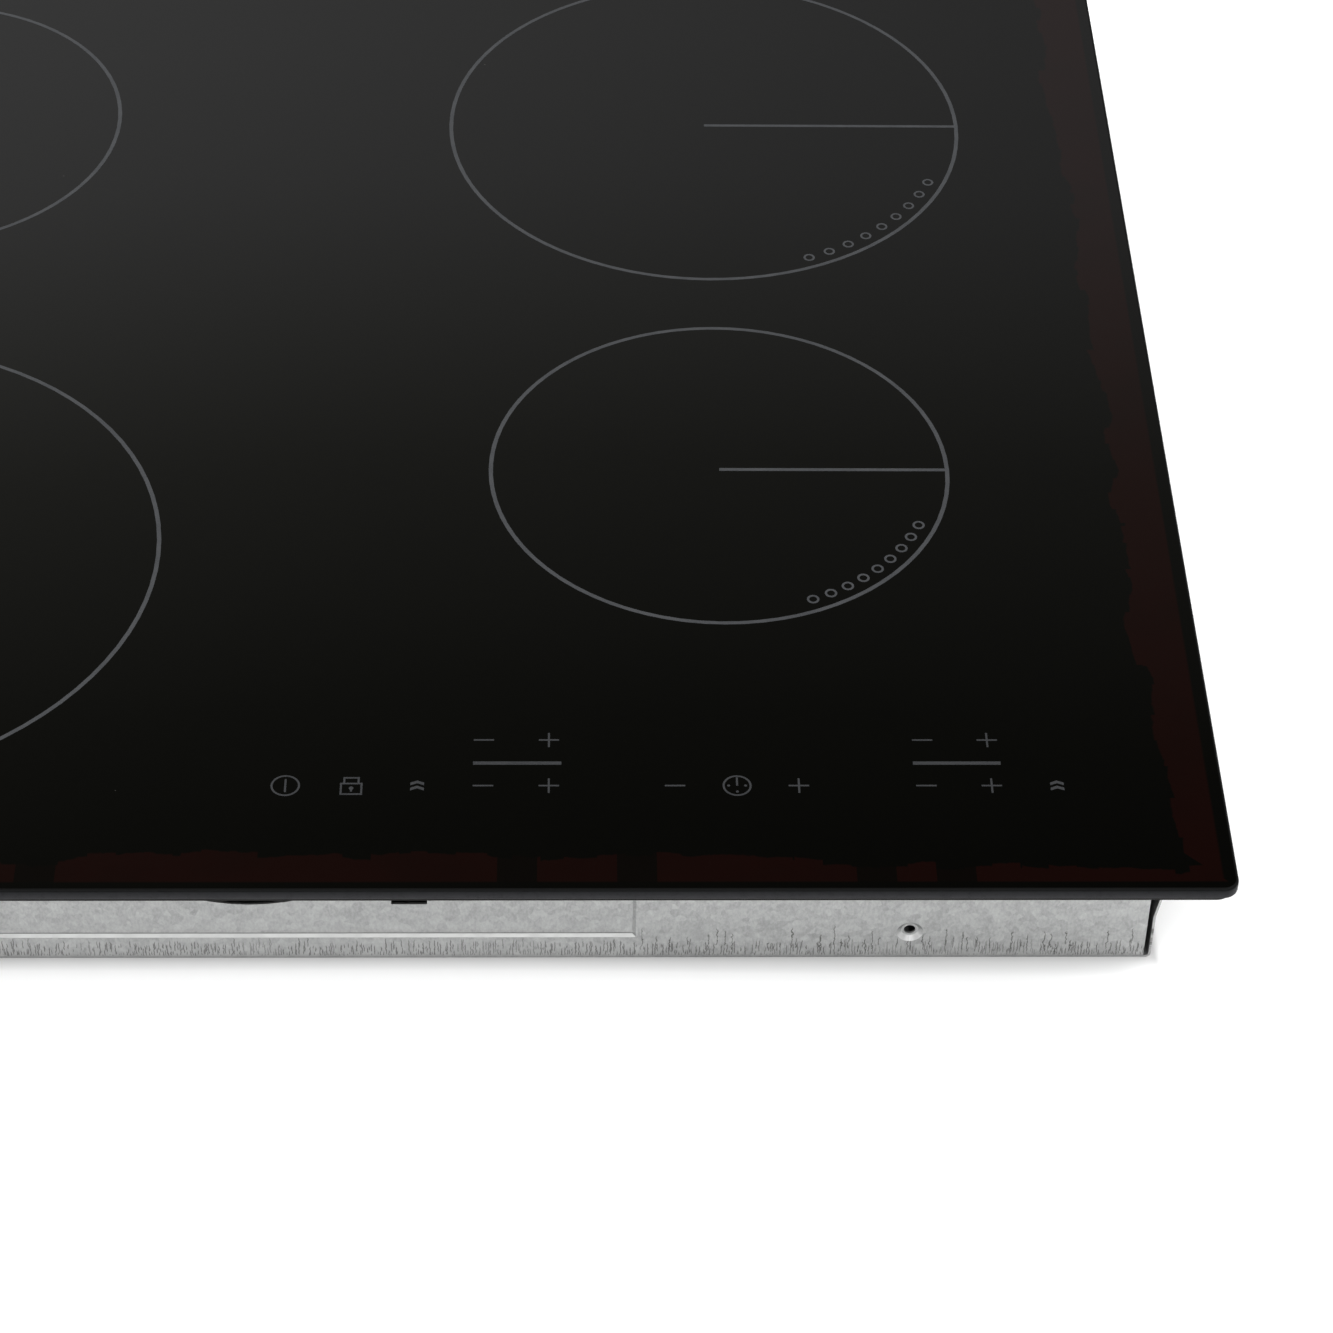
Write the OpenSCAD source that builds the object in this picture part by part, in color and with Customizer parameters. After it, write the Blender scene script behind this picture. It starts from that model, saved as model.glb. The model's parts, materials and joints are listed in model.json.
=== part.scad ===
// Built-in induction cooktop: glass top, printed marks, steel tray and the working parts inside it.
// Origin: bottom centre of the whole part. X to the right, Y to the back, Z up. Millimetres.

/* [Overall] */
// Width of the glass
glass_w = 590; // [560:1:800]
// Depth of the glass, front to back
glass_d = 520; // [500:1:640]
// Height from the tray's underside to the printed marks
total_h = 50; // [46:1:70]
// Thickness of the glass
glass_t = 4; // [4:0.5:6]
// Radius of the glass corners, seen from above
glass_corner_r = 5; // [2:0.5:20]
// Rounding of the upper glass edge
glass_arris_r = 0.9; // [0.3:0.1:1.6]
// Thickness of the printed enamel
print_t = 0.06; // [0.02:0.01:0.2]

/* [Tray] */
// Overhang of the glass beyond the tray's side walls
side_overhang = 18.9; // [14:0.1:24]
// Overhang of the glass beyond the tray's front and rear walls
front_overhang = 18.9; // [14:0.1:24]
// Thickness of the steel sheet
sheet_t = 0.7; // [0.5:0.1:1.2]
// Inner radius of the sheet's bends
bend_r = 0.9; // [0.5:0.1:2]
// Outward step of the side walls
joggle = 1.4; // [0.5:0.1:2]
// Height where the side walls begin to step outward
joggle_z = 18; // [12:0.1:22]
// Height that the outward step takes
joggle_rise = 8.5; // [4:0.1:12]
// Distance of the outer side screws from the middle, front to back
screw_y = 159; // [100:1:200]
// Open gap at the tray's corners
corner_gap = 1.6; // [0.5:0.1:3]
// Half width of the pressed panel in the front wall
panel_half = 113.2; // [60:0.2:160]
// Depth of the pressed panel
panel_deep = 0.9; // [0.5:0.1:2]
// Width of the slope around the pressed panel
panel_slope = 1.1; // [0.5:0.1:3]
// Height where the slope under the pressed panel begins
panel_z = 9.4; // [6:0.1:14]
// Distance of the clamp holes from the middle
clamp_x = 199; // [120:0.2:240]
// Distance of the rear clamp holes from the middle
clamp_rear_x = 175; // [120:0.2:240]
// Height of the clamp holes
clamp_z = 11.6; // [8:0.1:20]
// Radius of the clamp holes
clamp_r = 1.8; // [1:0.05:3]

/* [Cooking zones] */
// Sideways distance of the left zones from the middle
zone_left = 148.6; // [130:0.1:190]
// Sideways distance of the right zones from the middle
zone_right = 144; // [130:0.1:190]
// Front to back position of the large front left zone
zone_fl_y = -108.8; // [-140:0.1:-90]
// Front to back position of the front right zone
zone_fr_y = -65; // [-100:0.1:-50]
// Front to back position of the rear right zone
zone_rr_y = 133.2; // [110:0.1:170]
// Front to back position of the rear left zone
zone_rl_y = 133.2; // [110:0.1:170]
// Ring radius of the large zone
ring_l = 108.7; // [90:0.1:120]
// Ring radius of the small zones
ring_s = 76.4; // [60:0.1:85]
// Ring radius of the middle zone
ring_m = 93.7; // [80:0.1:100]
// Width of the printed rings and lines
line_w = 1.4; // [0.6:0.1:3]
// Width of the thin lines in the key symbols
thin_w = 0.62; // [0.4:0.05:1.2]

/* [Coils] */
// Diameter of the stranded coil wire
wire_d = 3.8; // [3:0.1:4.4]
// Distance between neighbouring turns
turn_pitch = 3.9; // [3.5:0.05:5]
// Thickness of the ferrite bars
ferrite_t = 4.5; // [3:0.5:6]
// Thickness of the aluminium coil plate
plate_t = 1.5; // [1:0.1:3]
// Radius of the coil leads
lead_r = 2.1; // [1.5:0.1:2.6]
// Running clearance between the sensors and their guides
sensor_gap = 0.4; // [0.2:0.05:1]

/* [Electronics] */
// Thickness of the circuit boards
board_t = 1.6; // [1:0.1:2.4]
// Height of the board spacers above the tray floor
spacer_h = 5.3; // [3:0.1:8]
// Radius of the fan rotors
rotor_r = 38; // [30:1:44]
// Gap between a fan rotor and its housing
rotor_gap = 1.5; // [1:0.1:4]
// Radius of the fan shafts
shaft_r = 2; // [1.5:0.1:3]
// Radial running clearance of the fan shafts
shaft_fit = 0.05; // [0.02:0.01:0.1]
// Pitch between neighbouring touch keys
key_pitch = 20.15; // [16:0.05:24]
// Radius of the mains cable's way in
cable_r = 6; // [4:0.5:9]
// Radial running clearance of the cover's hinge pins
hinge_fit = 0.05; // [0.02:0.01:0.1]

/* [Hidden] */
$fn = 96;

z_top = total_h - print_t;
z_g = z_top - glass_t;
adhesive_t = 0.6;
flange_t = 0.8;
seal_t = 2;
z_flange = z_g - adhesive_t - flange_t;
wall_top = z_flange - 0.2;
mica_t = 0.6;
z_mica = z_g - 1 - mica_t;
z_wind = z_mica - 0.1 - wire_d;
disc_t = 1.5;
z_disc = z_wind - disc_t;
z_ferr = z_disc - ferrite_t;
z_plate = z_ferr - plate_t;
side_up = glass_w / 2 - side_overhang;
side_lo = side_up - joggle;
wall_y = glass_d / 2 - front_overhang;
wall_end = side_lo - sheet_t - corner_gap;
rib_y = 60;
zones = [[-zone_left, zone_fl_y, ring_l], [zone_right, zone_fr_y, ring_s],
  [-zone_left, zone_rl_y, ring_s], [zone_right, zone_rr_y, ring_m]];
FL = 0; FR = 1; RL = 2; RR = 3;
z_board = sheet_t + spacer_h;
z_parts = z_board + board_t;
sink_x = zone_right + 6;
sink_w = 50;
sink_top = z_plate - 2;
board_in = 116;
board_out = side_lo - 32;
board_y0 = -(wall_y - 19);
board_y1 = 12;
fan_x = sink_x;
fan_y = 73;
fan_half = rotor_r + rotor_gap + 7;
fan_z0 = 2;
fan_z1 = z_plate - 4;
box_x = 200;
box_half = 45;
box_y1 = wall_y - 5;
box_y0 = box_y1 - 70;
cable_z = cable_r + 8;
box_h = cable_z + cable_r + 6;
pin_y = box_y0 + 2;
pin_z = 2.3;
key_x0 = 6.8;
key_y = -(glass_d / 2 - 44.4);
row_up = key_pitch;
ui_x0 = -3;
ui_x1 = 258;
ui_y0 = -(wall_y - 10);
ui_y1 = key_y + row_up + 16;
ui_z0 = z_plate - 1;

function turns(r) = floor((r - 10.5 - 22) / turn_pitch);
function wind_r(r) = 22 + turns(r) * turn_pitch;
function form_r(r) = wind_r(r) + wire_d / 2 + 2.5;

// ---------- shared shapes ----------
module slab2d(w, t, ra, rb) {
  translate([-(w / 2 - ra), 0]) square([w - 2 * ra, t]);
  translate([-(w / 2 - rb), 0]) square([w - 2 * rb, t - ra]);
  translate([-w / 2, rb]) square([w, t - ra - rb]);
  for (s = [-1, 1]) {
    translate([s * (w / 2 - ra), t - ra]) circle(ra);
    translate([s * (w / 2 - rb), rb]) circle(rb);
  }
}

module round_rect(w, d, r) {
  square([w - 2 * r, d], center = true);
  square([w, d - 2 * r], center = true);
  for (x = [-1, 1], y = [-1, 1]) translate([x * (w / 2 - r), y * (d / 2 - r)]) circle(r);
}

module ring2d(r, w) {
  difference() {
    circle(r + w / 2);
    circle(r - w / 2);
  }
}

module box3(x0, x1, y0, y1, z0, z1) {
  translate([x0, y0, z0]) cube([x1 - x0, y1 - y0, z1 - z0]);
}

module frame2d(w, d, band, r) {
  difference() {
    round_rect(w, d, r);
    round_rect(w - 2 * band, d - 2 * band, max(0.5, r - band));
  }
}

// ---------- glass ----------
module glass_top() {
  color([0.03, 0.03, 0.035])
  translate([0, 0, z_g]) {
    r = glass_corner_r;
    translate([0, glass_d / 2 - r, 0]) rotate([90, 0, 0])
      linear_extrude(glass_d - 2 * r) slab2d(glass_w, glass_t, glass_arris_r, 0.5);
    translate([-(glass_w / 2 - r), 0, 0]) rotate([90, 0, 90])
      linear_extrude(glass_w - 2 * r) slab2d(glass_d, glass_t, glass_arris_r, 0.5);
    for (x = [-1, 1], y = [-1, 1])
      translate([x * (glass_w / 2 - r), y * (glass_d / 2 - r), 0]) rotate_extrude()
        intersection() {
          slab2d(2 * r, glass_t, glass_arris_r, 0.5);
          square([r + 1, glass_t + 1]);
        }
  }
}

module zone_print(i) {
  side = zones[i][0] > 0 ? 1 : -1;
  translate([zones[i][0], zones[i][1], 0]) {
    ring2d(zones[i][2], line_w);
    translate([side > 0 ? 0 : -zones[i][2], -line_w / 2]) square([zones[i][2], line_w]);
    for (k = [0 : 8]) rotate(side > 0 ? -66.3 + k * 5.35 : 246.3 - k * 5.35)
      translate([zones[i][2] - 5.5, 0]) ring2d(1.65, 0.75);
  }
}

module printed_zone_rings() {
  color([0.33, 0.34, 0.36])
  translate([0, 0, z_top]) linear_extrude(print_t) for (i = [0 : 3]) zone_print(i);
}

// ---------- key symbols ----------
module minus2d() { square([6.3, thin_w], center = true); }
module plus2d() { minus2d(); square([thin_w, 6.3], center = true); }
module power2d() {
  ring2d(4.2, thin_w);
  square([thin_w, 5.7], center = true);
}
module clock2d() {
  ring2d(4.15, thin_w);
  translate([-thin_w / 2, 0]) square([thin_w, 3.6]);
  for (p = [[-2.6, 0], [2.6, 0], [0, -2.6]]) translate(p) circle(0.45);
}
module lock2d() {
  translate([0, -1.4]) difference() {
    square([6.9, 5.2], center = true);
    square([6.9 - 2 * thin_w, 5.2 - 2 * thin_w], center = true);
  }
  translate([0, -1.1]) circle(0.7);
  translate([-0.3, -2.6]) square([0.6, 1.6]);
  translate([0, 2.45]) difference() {
    square([5, 2.5], center = true);
    translate([0, -thin_w]) square([5 - 2 * thin_w, 2.5], center = true);
  }
}
module boost2d() {
  for (y = [-2.1, 0.15]) translate([0, y])
    polygon([[-2.1, 0], [0, 0.9], [2.1, 0], [2.1, 1.15], [0, 2.05], [-2.1, 1.15]]);
}

module printed_key_symbols() {
  color([0.3, 0.3, 0.31])
  translate([0, 0, z_top]) linear_extrude(print_t) {
    translate([key_x0, key_y]) power2d();
    translate([key_x0 + key_pitch, key_y]) lock2d();
    translate([key_x0 + 2 * key_pitch, key_y]) boost2d();
    for (y = [0, row_up]) {
      translate([key_x0 + 3 * key_pitch, key_y + y]) minus2d();
      translate([key_x0 + 4 * key_pitch, key_y + y]) plus2d();
      translate([key_x0 + 9.757 * key_pitch, key_y + y]) minus2d();
      translate([key_x0 + 10.757 * key_pitch, key_y + y]) plus2d();
    }
    for (x = [3.516, 10.256])
      translate([key_x0 + x * key_pitch, key_y + row_up / 2 - 0.2]) square([27.2, line_w], center = true);
    translate([key_x0 + 5.921 * key_pitch, key_y]) minus2d();
    translate([key_x0 + 6.868 * key_pitch, key_y]) clock2d();
    translate([key_x0 + 7.811 * key_pitch, key_y]) plus2d();
    translate([key_x0 + 11.757 * key_pitch, key_y]) boost2d();
  }
}

module worktop_seal() {
  color([0.06, 0.06, 0.06])
  translate([0, 0, z_g - seal_t]) linear_extrude(seal_t) frame2d(glass_w - 3, glass_d - 3, 5, 5);
}

module glass_adhesive() {
  color([0.1, 0.1, 0.1])
  translate([0, 0, z_g - adhesive_t]) linear_extrude(adhesive_t) difference() {
    square([2 * side_up - 1, 2 * wall_y - 1], center = true);
    square([2 * side_up - 17, 2 * wall_y - 17], center = true);
  }
}

// ---------- frame under the glass ----------
leg_x = side_up - sheet_t - 0.2;
leg_y = wall_y - sheet_t - panel_deep - 0.2;
screw_z = wall_top - 8;
screw_ys = [-screw_y, 0, screw_y];

module glass_frame() {
  color([0.55, 0.56, 0.57])
  difference() {
    union() {
      translate([0, 0, z_flange]) linear_extrude(flange_t) difference() {
        square([2 * side_up, 2 * wall_y], center = true);
        square([2 * side_up - 20, 2 * wall_y - 20], center = true);
      }
      translate([0, 0, z_flange - 14]) linear_extrude(14) difference() {
        square([2 * leg_x, 2 * leg_y], center = true);
        square([2 * leg_x - 1.6, 2 * leg_y - 1.6], center = true);
      }
      for (s = [-1, 1], y = screw_ys)
        translate([s * leg_x, y, screw_z]) rotate([0, -s * 90, 0]) cylinder(r = 4, h = 5);
    }
    for (s = [-1, 1], y = screw_ys)
      translate([s * (leg_x + 1), y, screw_z]) rotate([0, -s * 90, 0]) cylinder(r = 1.7, h = 8);
  }
}

module tray_screws() {
  color([0.6, 0.6, 0.62])
  for (s = [-1, 1], y = screw_ys) translate([s * side_up, y, screw_z]) rotate([0, s * 90, 0]) {
    difference() {
      cylinder(r1 = 3.4, r2 = 2.6, h = 1.7);
      translate([0, 0, 1]) cube([4, 0.8, 3], center = true);
      translate([0, 0, 1]) cube([0.8, 4, 3], center = true);
    }
    translate([0, 0, -8]) cylinder(r = 1.6, h = 8.1);
  }
}

// ---------- tray ----------
module u2d(half, h, t, ri) {
  ro = ri + t;
  translate([-(half - ro), 0]) square([2 * (half - ro), t]);
  for (s = [-1, 1]) {
    translate([s > 0 ? half - t : -half, ro]) square([t, h - ro]);
    translate([s * (half - ro), ro]) intersection() {
      difference() {
        circle(ro);
        circle(ri);
      }
      translate([s > 0 ? 0 : -ro, -ro]) square([ro, ro]);
    }
  }
}

module side2d() {
  z1 = joggle_z;
  z2 = joggle_z + joggle_rise;
  u2d(side_lo, z1, sheet_t, bend_r);
  for (s = [-1, 1])
    polygon([[s * side_lo, z1], [s * side_up, z2], [s * side_up, wall_top],
      [s * (side_up - sheet_t), wall_top], [s * (side_up - sheet_t), z2], [s * (side_lo - sheet_t), z1]]);
}

module pressed(grow) {
  y0 = -wall_y;
  y1 = y0 + panel_deep + grow * sheet_t;
  yf = y0 - 2 * (1 - grow);
  xo = panel_half + panel_slope + grow;
  intersection() {
    translate([0, 0, 5]) linear_extrude(wall_top - 5.5)
      polygon([[-xo, yf], [-xo, y0], [-panel_half - grow, y1], [panel_half + grow, y1], [xo, y0], [xo, yf]]);
    translate([-panel_half - 8, 0, 0]) rotate([90, 0, 90]) linear_extrude(2 * panel_half + 16)
      polygon([[yf, panel_z - grow * 0.6], [y0, panel_z - grow * 0.6], [y1, panel_z + 0.8 - grow * 0.6],
        [y1, wall_top - 2.6], [y0, wall_top - 1.8], [yf, wall_top - 1.8]]);
  }
}

module bottom_tray() {
  color([0.68, 0.69, 0.68])
  difference() {
    union() {
      translate([-wall_end, 0, 0]) rotate([90, 0, 90]) linear_extrude(2 * wall_end)
        u2d(wall_y, wall_top, sheet_t, bend_r);
      translate([0, wall_y - 0.3, 0]) rotate([90, 0, 0]) linear_extrude(2 * wall_y - 0.6) side2d();
      pressed(1);
      for (f = [-1, 1], s = [-1, 1]) translate([s * (f < 0 ? clamp_x : clamp_rear_x), f * wall_y, clamp_z]) rotate([f * 90, 0, 0])
        cylinder(r1 = clamp_r + 2.7, r2 = clamp_r + 1.6, h = 1.9);
      for (x = [-210, -90, 90, 210]) translate([x, rib_y, sheet_t])
        rotate([90, 0, 0]) intersection() {
          linear_extrude(90, center = true) translate([0, -6.5]) circle(8);
          translate([0, 5, 0]) cube([30, 10, 200], center = true);
        }
    }
    pressed(0);
    for (x = [-210, -90, 90, 210]) translate([x, rib_y, sheet_t]) rotate([90, 0, 0])
      linear_extrude(88, center = true) translate([0, -6.5]) circle(8 - sheet_t);
    for (f = [-1, 1], s = [-1, 1]) translate([s * (f < 0 ? clamp_x : clamp_rear_x), f * wall_y, clamp_z]) rotate([f * 90, 0, 0]) {
      translate([0, 0, -1]) cylinder(r = clamp_r, h = 6);
      translate([0, 0, -0.01]) cylinder(r1 = clamp_r + 2.3, r2 = clamp_r + 0.8, h = 1.2);
    }
    // air slots in the front wall
    box3(39.2, 50.2, -wall_y - 1, -wall_y + 4, 23.2, 33);
    intersection() {
      translate([-4.2, -wall_y + 4, 23.1 + 54.5]) rotate([90, 0, 0]) cylinder(r = 54.5, h = 6);
      box3(-40, 40, -wall_y - 2, -wall_y + 4, 20, 30);
    }
    // screw holes in the side walls
    for (s = [-1, 1], y = screw_ys) translate([s * (side_up + 2), y, screw_z]) rotate([0, -s * 90, 0])
      cylinder(r = 1.9, h = 6);
    // fan grilles
    for (s = [-1, 1], k = [-4 : 4])
      box3(s * fan_x - sqrt(pow(rotor_r, 2) - pow(k * 7.6, 2)), s * fan_x + sqrt(pow(rotor_r, 2) - pow(k * 7.6, 2)),
        fan_y + k * 7.6 - 1.7, fan_y + k * 7.6 + 1.7, -1, 2);
    // warm air slots at the front of the floor
    for (s = [-1, 1], k = [-4 : 4])
      box3(s * sink_x + k * 12 - 2, s * sink_x + k * 12 + 2, -wall_y + 9, -wall_y + 17, -1, 2);
    // way in to the terminals, and the cable hole
    box3(-box_x - box_half + 4, -box_x + box_half - 4, pin_y - 2.8, box_y1 - 3, -1, 3);
    translate([-box_x, wall_y + 2, cable_z]) rotate([90, 0, 0]) cylinder(r = cable_r + 2.2, h = 8);
  }
}

// ---------- coils ----------
module plate2d() {
  difference() {
    union() {
      polygon([[-(side_lo - 14), -(wall_y - 14)], [ui_x0 - 5, -(wall_y - 14)], [ui_x0 - 5, ui_y1 + 4],
        [side_lo - 14, ui_y1 + 4], [side_lo - 14, wall_y - 14], [-(side_lo - 14), wall_y - 14]]);
    }
    for (i = [0 : 3]) translate([zones[i][0], zones[i][1]]) circle(3);
    for (p = lead_points) translate(p) circle(4.5);
  }
}

lead_points = [for (i = [0 : 3], s = [-1, 1])
  [zones[i][0] + (form_r(zones[i][2]) + 8) * cos(lead_dir(i) + s * 5),
   zones[i][1] + (form_r(zones[i][2]) + 8) * sin(lead_dir(i) + s * 5)]];
function lead_dir(i) = i == 0 ? 40 : i == 1 ? 215 : i == 2 ? 340 : 230;

module coil_plate() {
  color([0.78, 0.79, 0.8])
  translate([0, 0, z_plate]) linear_extrude(plate_t) plate2d();
}

pillars = [[-(side_lo - 21), -(wall_y - 19)], [-20, -(wall_y - 21)], [-(side_lo - 21), wall_y - 19], [0, 100],
  [side_lo - 21, wall_y - 19], [0, -40], [side_lo - 21, ui_y1 + 12], [20, ui_y1 + 12]];
module plate_pillars() {
  color([0.9, 0.9, 0.88])
  for (p = pillars) translate([p[0], p[1], sheet_t]) {
    cylinder(r = 4, h = z_plate - sheet_t);
    cylinder(r = 6.5, h = 2);
  }
}

module coil_former(i) {
  r = form_r(zones[i][2]);
  color([0.86, 0.84, 0.78])
  translate([zones[i][0], zones[i][1], 0]) difference() {
    union() {
      translate([0, 0, z_disc]) cylinder(r = r, h = disc_t);
      translate([0, 0, z_ferr]) linear_extrude(z_mica - 0.1 - z_ferr) ring2d(r - 0.8, 1.6);
      translate([0, 0, z_ferr]) cylinder(r = 17.5, h = z_mica - 0.1 - z_ferr);
      for (a = [0 : 45 : 315]) rotate(a + 22.5) box3(16, r - 1, -1, 1, z_ferr, z_disc + 0.5);
    }
    translate([0, 0, z_ferr - 1]) cylinder(r = 8 + sensor_gap, h = 30);
    for (a = [0 : 45 : 315]) rotate(a) translate([(r + 20) / 2, 0, z_disc + disc_t / 2])
      cube([r - 36, 5, disc_t + 2], center = true);
  }
}

module coil_winding(i) {
  color([0.72, 0.36, 0.16])
  translate([zones[i][0], zones[i][1], z_wind + wire_d / 2]) rotate_extrude()
    for (k = [0 : turns(zones[i][2])]) translate([22 + k * turn_pitch, 0]) {
      circle(wire_d / 2, $fn = 24);
      if (k > 0) translate([-turn_pitch / 2, 0]) square([turn_pitch - wire_d + 0.8, 1], center = true);
    }
}

module ferrite_bars(i) {
  r = form_r(zones[i][2]);
  color([0.16, 0.16, 0.17])
  translate([zones[i][0], zones[i][1], 0]) for (a = [0 : 45 : 315]) rotate(a)
    box3(19, r - 3, -6, 6, z_ferr + 0.05, z_disc - 0.1);
}

module mica_disc(i) {
  color([0.75, 0.7, 0.58, 0.8])
  translate([zones[i][0], zones[i][1], z_mica]) linear_extrude(mica_t) difference() {
    circle(form_r(zones[i][2]));
    circle(9.5);
  }
}

sensor_foot = z_ferr + 5.5;
module sensor(i) {
  color([0.92, 0.92, 0.9])
  translate([zones[i][0], zones[i][1], 0]) {
    translate([0, 0, sensor_foot]) cylinder(r = 8, h = z_g - 1.8 - sensor_foot);
    translate([0, 0, z_g - 1.9]) cylinder(r = 5, h = 1.87);
  }
}

module sensor_spring(i) {
  color([0.7, 0.7, 0.72])
  translate([zones[i][0], zones[i][1], z_ferr + 0.05]) rotate_extrude()
    for (k = [0 : 4]) translate([6, 0.55 + k * 1.07]) circle(0.55, $fn = 24);
}

z_run = z_board + 8;
tab_x = board_in + 2;
// where the lead of zone i with index s meets its board, front to back
function lead_y(i, s) = i < RL ? lead_points[2 * i + s][1]
  : board_y1 - 18 - (lead_r + 2) * 2 * (i == RL ? s : 1 - s);
module coil_leads() {
  color([0.85, 0.84, 0.8])
  for (i = [0 : 3], s = [0, 1]) {
    p = lead_points[2 * i + s];
    d = [p[0] - zones[i][0], p[1] - zones[i][1]];
    side = zones[i][0] > 0 ? 1 : -1;
    y = lead_y(i, s);
    union() {
      translate([p[0], p[1], z_run - lead_r]) cylinder(r = lead_r, h = z_mica - 1 - z_run + lead_r);
      translate([p[0], p[1], z_mica - 1.1 - lead_r]) rotate([0, 90, atan2(-d[1], -d[0])]) cylinder(r = lead_r, h = 7.9);
      if (i >= RL) {
        translate([p[0], y, z_run]) rotate([-90, 0, 0]) cylinder(r = lead_r, h = p[1] - y);
        translate([p[0], y, z_run - lead_r]) cylinder(r = lead_r, h = 2 * lead_r);
      }
      translate([side > 0 ? p[0] : -tab_x, y, z_run]) rotate([0, 90, 0]) cylinder(r = lead_r, h = tab_x - side * p[0]);
    }
  }
}

// ---------- power electronics ----------
module board_plate(s) {
  x0 = s > 0 ? board_in : -board_out;
  difference() {
    box3(x0, x0 + board_out - board_in, board_y0, board_y1, z_board, z_board + board_t);
    for (x = [board_in + 5, board_out - 5], y = [board_y0 + 5, board_y1 - 5])
      translate([s * x, y, z_board - 1]) cylinder(r = 1.7, h = 4);
  }
}
module power_board(s) {
  color([0.1, 0.3, 0.16]) {
    board_plate(s);
    for (i = s > 0 ? [FR, RR] : [FL, RL], k = [0, 1]) translate([s * (tab_x + 2.5), lead_y(i, k), 0])
      box3(-2.5, 2.5, -3.4, 3.4, z_parts - 0.2, z_run + lead_r + 1);
  }
}

module heat_sink(s) {
  color([0.8, 0.81, 0.82])
  translate([s * sink_x, board_y1 - 4, z_parts]) rotate([90, 0, 0])
    linear_extrude(board_y1 - board_y0 - 12) {
      translate([-sink_w / 2, 0]) square([sink_w, 4]);
      for (k = [-4 : 4]) translate([k * 5.7 - 0.9, 3]) square([1.8, sink_top - z_parts - 3]);
    }
}

module transistors() {
  color([0.07, 0.07, 0.07])
  for (s = [-1, 1], k = [0 : 3]) translate([s * (sink_x + sink_w / 2 + 0.1), -40 - k * 38, z_parts])
    box3(s > 0 ? 0 : -4.6, s > 0 ? 4.6 : 0, -8, 8, 0, 20);
}

cap_x = sink_x + sink_w / 2 + 26;
module capacitors() {
  color([0.85, 0.8, 0.2])
  for (s = [-1, 1]) {
    for (k = [0 : 2]) translate([s * cap_x, -30 - k * 34, z_parts])
      box3(-15, 15, -11, 11, 0, min(20, sink_top - z_parts));
    for (k = [0 : 1]) translate([s * cap_x, -150 - k * 30, z_parts]) cylinder(r = 11, h = min(21, sink_top - z_parts));
  }
}

module board_spacers() {
  color([0.9, 0.9, 0.9]) {
    for (s = [-1, 1], x = [board_in + 5, board_out - 5], y = [board_y0 + 5, board_y1 - 5])
      translate([s * x, y, sheet_t]) {
        cylinder(r = 3.5, h = spacer_h);
        cylinder(r = 1.6, h = spacer_h + board_t);
        translate([0, 0, spacer_h + board_t]) cylinder(r1 = 2.4, r2 = 1.2, h = 2);
      }
    for (x = [-75, 75], y = [wall_y - 106, wall_y - 21]) translate([x, y, sheet_t]) {
      cylinder(r = 3.5, h = spacer_h);
      cylinder(r = 1.6, h = spacer_h + board_t);
      translate([0, 0, spacer_h + board_t]) cylinder(r1 = 2.4, r2 = 1.2, h = 2);
    }
  }
}

// ---------- fans ----------
module fan_housing(s) {
  h = fan_z1 - fan_z0;
  color([0.08, 0.08, 0.08])
  translate([s * fan_x, fan_y, fan_z0]) difference() {
    union() {
      linear_extrude(h) round_rect(2 * fan_half, 2 * fan_half, 8);
      for (x = [-1, 1]) translate([x * (fan_half + 4), fan_half - 12, 0]) cylinder(r = 5, h = 4);
      for (x = [-1, 1]) box3(x > 0 ? fan_half - 3 : -fan_half - 4, x > 0 ? fan_half + 4 : -fan_half + 3,
        fan_half - 16, fan_half - 8, 0, 4);
    }
    translate([0, 0, 2]) cylinder(r = rotor_r + rotor_gap + 3, h = h - 4);
    box3(-sink_w / 2 + 2, sink_w / 2 - 2, -fan_half - 1, 0, 2, h - 2);
    translate([0, 0, -1]) cylinder(r = rotor_r - 6, h = 4);
    for (x = [-1, 1]) translate([x * (fan_half + 4), fan_half - 12, -1]) cylinder(r = 1.8, h = 7);
  }
}

module fan_stator(s) {
  color([0.6, 0.35, 0.2])
  translate([s * fan_x, fan_y, 0]) {
    translate([0, 0, fan_z0 + 5]) cylinder(r = shaft_r, h = fan_z1 - fan_z0 - 7);
    translate([0, 0, fan_z1 - 7]) cylinder(r = 7, h = 5);
    translate([0, 0, fan_z1 - 13]) cylinder(r = 12, h = 7);
  }
}

module fan_rotor(s) {
  zb = fan_z0 + 4;
  zt = fan_z1 - 4;
  color([0.12, 0.12, 0.13])
  translate([s * fan_x, fan_y, 0]) difference() {
    union() {
      translate([0, 0, zb]) cylinder(r = 18, h = zt - zb - 3);
      translate([0, 0, zb + 1]) linear_extrude(2) circle(rotor_r);
      translate([0, 0, zt - 2]) linear_extrude(2) ring2d(rotor_r - 1.5, 3);
      for (k = [0 : 26]) rotate(k * 40 / 3) translate([rotor_r - 4.5, 0, (zb + zt) / 2])
        rotate(28) cube([7.6, 1.2, zt - zb - 2], center = true);
    }
    translate([0, 0, zb - 1]) cylinder(r = shaft_r + shaft_fit, h = 60);
    translate([0, 0, fan_z1 - 14]) cylinder(r = 14, h = 20);
    for (k = [0 : 5]) rotate(k * 60) translate([25, 0, zb]) cylinder(r = 4.5, h = 4);
  }
}

// ---------- mains filter ----------
module filter_board() {
  color([0.1, 0.3, 0.16])
  difference() {
    box3(-80, 80, wall_y - 111, wall_y - 16, z_board, z_board + board_t);
    for (x = [-75, 75], y = [wall_y - 106, wall_y - 21]) translate([x, y, z_board - 1]) cylinder(r = 1.7, h = 4);
  }
}

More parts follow.
